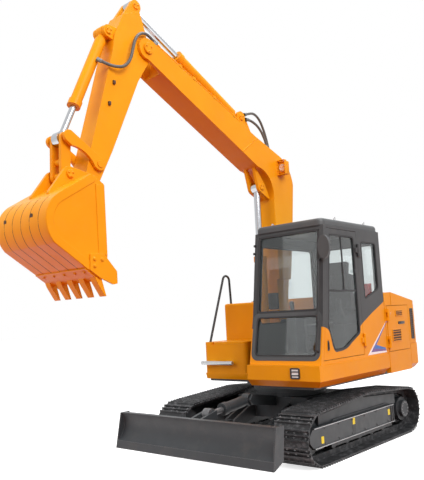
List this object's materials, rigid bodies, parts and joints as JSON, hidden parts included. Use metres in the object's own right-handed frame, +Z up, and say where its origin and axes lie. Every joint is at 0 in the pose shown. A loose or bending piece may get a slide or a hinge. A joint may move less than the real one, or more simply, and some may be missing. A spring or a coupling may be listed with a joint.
{
  "type": "crawler excavator",
  "caption": "Tracked excavator with enclosed cab, slewing upper body, cranked boom, arm and toothed bucket worked by cylinders, and a front dozer blade.",
  "frame": {"origin": "on the ground under the middle of the whole machine's box; the slew axis is 1.05 m behind it", "axes": "+X forward, the way the blade and cab face; +Y to the operator's left; +Z up"},
  "size_m": [5.5401, 2.3, 5.04],
  "materials": {
    "black_paint": "gloss black paint",
    "black_plastic": "matte black plastic",
    "cab_grey_paint": "satin dark grey paint",
    "charcoal_paint": "satin charcoal paint",
    "chrome_rod": "polished chrome",
    "exhaust_steel": "heat-stained steel",
    "orange_paint": "semi-gloss orange-yellow paint",
    "red_paint": "gloss red paint",
    "seat_fabric": "dark woven fabric",
    "tinted_glass": "lightly tinted safety glass",
    "track_steel": "dark steel with bright worn ridges"
  },
  "bodies": {
    "undercarriage": {"centre_frame": "charcoal_paint", "slew_ring": "charcoal_paint", "track_frame_left": "charcoal_paint", "track_frame_right": "charcoal_paint", "track_left": "track_steel", "track_right": "track_steel", "idlers": "charcoal_paint", "sprockets": "charcoal_paint", "rollers": "charcoal_paint"},
    "blade": {"dozer_blade": "charcoal_paint", "blade_edge": "charcoal_paint"},
    "blade_cylinder_barrel": {"blade_cylinder_barrel": "charcoal_paint"},
    "blade_cylinder_rod": {"blade_cylinder_rod": "chrome_rod"},
    "upper": {"main_frame": "charcoal_paint", "cab_base": "orange_paint", "counterweight": "orange_paint", "engine_block": "charcoal_paint", "engine_housing": "orange_paint", "side_sills": "orange_paint", "top_panel": "orange_paint", "exhaust": "exhaust_steel", "fuel_tank": "orange_paint", "toolbox": "orange_paint", "handrail": "black_paint", "cab_shell": "cab_grey_paint", "cab_roof": "cab_grey_paint", "cab_glass": "tinted_glass", "seat": "seat_fabric", "controls": "black_plastic", "extinguisher": "red_paint", "mirror": "cab_grey_paint"},
    "cab_door": {"cab_door": "cab_grey_paint", "door_glass": "tinted_glass"},
    "service_door_left": {"service_door_left": "orange_paint"},
    "service_door_right": {"service_door_right": "orange_paint"},
    "engine_hood": {"engine_hood": "orange_paint"},
    "toolbox_lid": {"toolbox_lid": "orange_paint"},
    "boom": {"boom": "orange_paint"},
    "boom_cylinder_barrel": {"boom_cylinder_barrel": "orange_paint"},
    "boom_cylinder_rod": {"boom_cylinder_rod": "chrome_rod"},
    "arm": {"arm": "orange_paint"},
    "arm_cylinder_barrel": {"arm_cylinder_barrel": "orange_paint"},
    "arm_cylinder_rod": {"arm_cylinder_rod": "chrome_rod"},
    "bucket_cylinder_barrel": {"bucket_cylinder_barrel": "orange_paint"},
    "bucket_cylinder_rod": {"bucket_cylinder_rod": "chrome_rod"},
    "side_links": {"side_links": "orange_paint"},
    "bucket_link": {"bucket_link": "orange_paint"},
    "bucket": {"bucket": "orange_paint", "bucket_teeth": "orange_paint"}
  },
  "joints": [
    {"name": "swing", "type": "hinge", "parent": "undercarriage", "child": "upper", "pos_m": [-1.05, 0, 0.756], "axis": [0, 0, 1], "continuous": true},
    {"name": "boom_lift", "type": "hinge", "parent": "upper", "child": "boom", "pos_m": [-0.965, -0.105, 1.43], "axis": [0, -1, 0], "range_deg": [-98, 8]},
    {"name": "arm_swing", "type": "hinge", "parent": "boom", "child": "arm", "pos_m": [1.288, -0.105, 4.497], "axis": [0, 1, 0], "range_deg": [-84, 30]},
    {"name": "bucket_curl", "type": "hinge", "parent": "arm", "child": "bucket", "pos_m": [2.064, -0.105, 2.929], "axis": [0, 1, 0], "range_deg": [-50, 100]},
    {"name": "blade_lift", "type": "hinge", "parent": "undercarriage", "child": "blade", "pos_m": [-0.2, 0, 0.3], "axis": [0, -1, 0], "range_deg": [-22, 12]},
    {"name": "cab_door_swing", "type": "hinge", "parent": "upper", "child": "cab_door", "pos_m": [-1.095, 1.08, 1.8], "axis": [0, 0, 1], "range_deg": [0, 165]},
    {"name": "left_service_door_swing", "type": "hinge", "parent": "upper", "child": "service_door_left", "pos_m": [-1.749, 1.088, 1.35], "axis": [0, 0, 1], "range_deg": [-100, 0]},
    {"name": "right_service_door_swing", "type": "hinge", "parent": "upper", "child": "service_door_right", "pos_m": [-1.749, -1.088, 1.35], "axis": [0, 0, 1], "range_deg": [0, 100]},
    {"name": "engine_hood_lift", "type": "hinge", "parent": "upper", "child": "engine_hood", "pos_m": [-1.897, 0, 1.815], "axis": [0, 1, 0], "range_deg": [0, 60]},
    {"name": "toolbox_lid_lift", "type": "hinge", "parent": "upper", "child": "toolbox_lid", "pos_m": [-1.036, -0.6325, 1.275], "axis": [0, -1, 0], "range_deg": [0, 75]},
    {"name": "boom_barrel_swing", "type": "hinge", "parent": "upper", "child": "boom_cylinder_barrel", "pos_m": [-0.691, -0.105, 1.02], "axis": [0, -1, 0], "range_deg": [-92.62, 8.02]},
    {"name": "boom_rod_slide", "type": "slide", "parent": "boom_cylinder_barrel", "child": "boom_cylinder_rod", "axis": [-0.0103, 0, 0.9999], "range_m": [-0.7292, 0.0632]},
    {"name": "arm_barrel_swing", "type": "hinge", "parent": "boom", "child": "arm_cylinder_barrel", "pos_m": [-0.36, -0.105, 4.11], "axis": [0, 1, 0], "range_deg": [-2.18, 1.1]},
    {"name": "arm_rod_slide", "type": "slide", "parent": "arm_cylinder_barrel", "child": "arm_cylinder_rod", "axis": [0.8965, 0, 0.4431], "range_m": [-0.592, 0.214]},
    {"name": "side_links_swing", "type": "hinge", "parent": "arm", "child": "side_links", "pos_m": [1.981, -0.105, 3.123], "axis": [0, 1, 0], "range_deg": [-30.2, 59.9]},
    {"name": "bucket_link_swing", "type": "hinge", "parent": "bucket", "child": "bucket_link", "pos_m": [2.34, -0.105, 2.975], "axis": [0, 1, 0], "range_deg": [-63.8, 32.15]},
    {"name": "bucket_barrel_swing", "type": "hinge", "parent": "arm", "child": "bucket_cylinder_barrel", "pos_m": [1.768, -0.105, 4.565], "axis": [0, 1, 0], "range_deg": [-1.88, 3.25]},
    {"name": "bucket_rod_slide", "type": "slide", "parent": "bucket_cylinder_barrel", "child": "bucket_cylinder_rod", "axis": [0.4164, 0, -0.9092], "range_m": [-0.19695, 0.3899]},
    {"name": "blade_barrel_swing", "type": "hinge", "parent": "undercarriage", "child": "blade_cylinder_barrel", "pos_m": [-0.15, 0, 0.62], "axis": [0, -1, 0], "range_deg": [-22.5, 12.5]},
    {"name": "blade_rod_slide", "type": "slide", "parent": "blade_cylinder_barrel", "child": "blade_cylinder_rod", "axis": [0.9943, 0, -0.1065], "range_m": [-0.07072, 0.12632]}
  ],
  "couplings": [
    {"joint": "boom_barrel_swing", "follows": "boom_lift", "ratio": 0.94},
    {"joint": "boom_rod_slide", "follows": "boom_lift", "m_per_rad": 0.42399},
    {"joint": "arm_barrel_swing", "follows": "arm_swing", "ratio": 0.02},
    {"joint": "arm_rod_slide", "follows": "arm_swing", "m_per_rad": 0.40107},
    {"joint": "side_links_swing", "follows": "bucket_curl", "ratio": 0.594},
    {"joint": "bucket_link_swing", "follows": "bucket_curl", "ratio": -0.633},
    {"joint": "bucket_barrel_swing", "follows": "bucket_curl", "ratio": 0.0275},
    {"joint": "bucket_rod_slide", "follows": "bucket_curl", "m_per_rad": 0.2211},
    {"joint": "blade_barrel_swing", "follows": "blade_lift", "ratio": 1},
    {"joint": "blade_rod_slide", "follows": "blade_lift", "m_per_rad": -0.31856}
  ]
}
